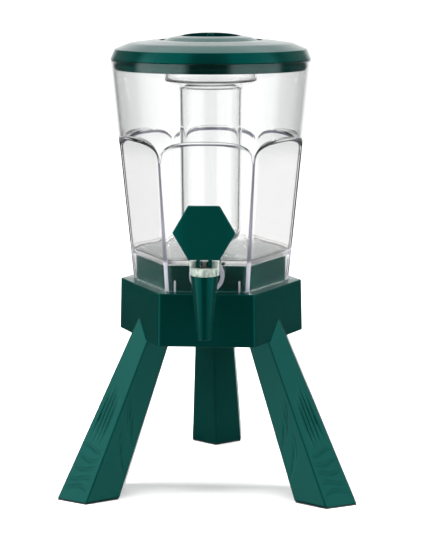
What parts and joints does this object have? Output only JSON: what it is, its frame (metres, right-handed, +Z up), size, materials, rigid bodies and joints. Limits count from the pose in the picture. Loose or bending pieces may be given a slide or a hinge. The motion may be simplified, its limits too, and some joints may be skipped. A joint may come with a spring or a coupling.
{
  "type": "drink dispenser",
  "caption": "Tapered clear jug with six arched flats, on a raised three-legged base, with a spring-closed front tap, a flat round lid and a hanging ice tube under a screw cap.",
  "frame": {"origin": "on the table, under the middle of the whole object's bounding box; the jug's axis is 21.15 mm behind it (at y = -0.02115)", "axes": "+Z up along the jug's axis; -Y is the front, where the tap is; +X is to the right seen from the front"},
  "size_m": [0.2684, 0.2676, 0.413],
  "materials": {
    "green": "glossy injection-moulded dark green plastic",
    "clear": "clear polished plastic",
    "rubber": "matt black rubber",
    "silicone": "translucent silicone",
    "silver": "satin silver-grey moulded plastic",
    "steel": "plain stainless steel"
  },
  "bodies": {
    "base": {"base_housing": "green", "base_bottom_plate": "green", "leg_back": "green", "leg_front_left": "green", "leg_front_right": "green", "foot_back": "rubber", "foot_front_left": "rubber", "foot_front_right": "rubber", "leg_screw_back": "steel", "leg_screw_front_left": "steel", "leg_screw_front_right": "steel", "plate_screw_left": "steel", "plate_screw_right": "steel", "plate_screw_front": "steel"},
    "jug": {"jug_body": "clear", "tap_body": "green", "tap_outer_washer": "silicone", "tap_inner_washer": "rubber", "tap_nut": "green", "tap_bonnet": "silver"},
    "stem": {"valve_stem": "silver", "valve_plug": "rubber", "valve_spring": "steel", "lever_pin": "steel"},
    "lever": {"tap_lever": "green"},
    "seal": {"lid_seal": "silicone"},
    "lid": {"lid": "green", "ice_tube": "clear"},
    "cap_ring": {"cap_seal": "silicone"},
    "cap": {"ice_tube_cap": "green"}
  },
  "joints": [
    {"name": "jug_lift", "type": "slide", "parent": "base", "child": "jug", "axis": [0, 0, 1], "range_m": [0, 0.06]},
    {"name": "lid_lift", "type": "slide", "parent": "jug", "child": "seal", "axis": [0, 0, 1], "range_m": [0, 0.18]},
    {"name": "lid_turn", "type": "hinge", "parent": "seal", "child": "lid", "pos_m": [0, -0.02115, 0.395], "axis": [0, 0, 1], "continuous": true},
    {"name": "cap_lift", "type": "slide", "parent": "lid", "child": "cap_ring", "axis": [0, 0, 1], "range_m": [0, 0.03]},
    {"name": "cap_turn", "type": "hinge", "parent": "cap_ring", "child": "cap", "pos_m": [0, -0.02115, 0.403], "axis": [0, 0, 1], "continuous": true},
    {"name": "stem_lift", "type": "slide", "parent": "jug", "child": "stem", "axis": [0, 0, 1], "range_m": [0, 0.0031], "deforming": ["valve_spring"]},
    {"name": "lever_tilt", "type": "hinge", "parent": "stem", "child": "lever", "pos_m": [0, -0.12115, 0.2215], "axis": [1, 0, 0], "range_deg": [0, 40], "stiffness_Nm_per_rad": 0.12, "springref_deg": -20.05}
  ],
  "couplings": [
    {"joint": "stem_lift", "follows": "lever_tilt", "m_per_rad": 0.0043}
  ]
}
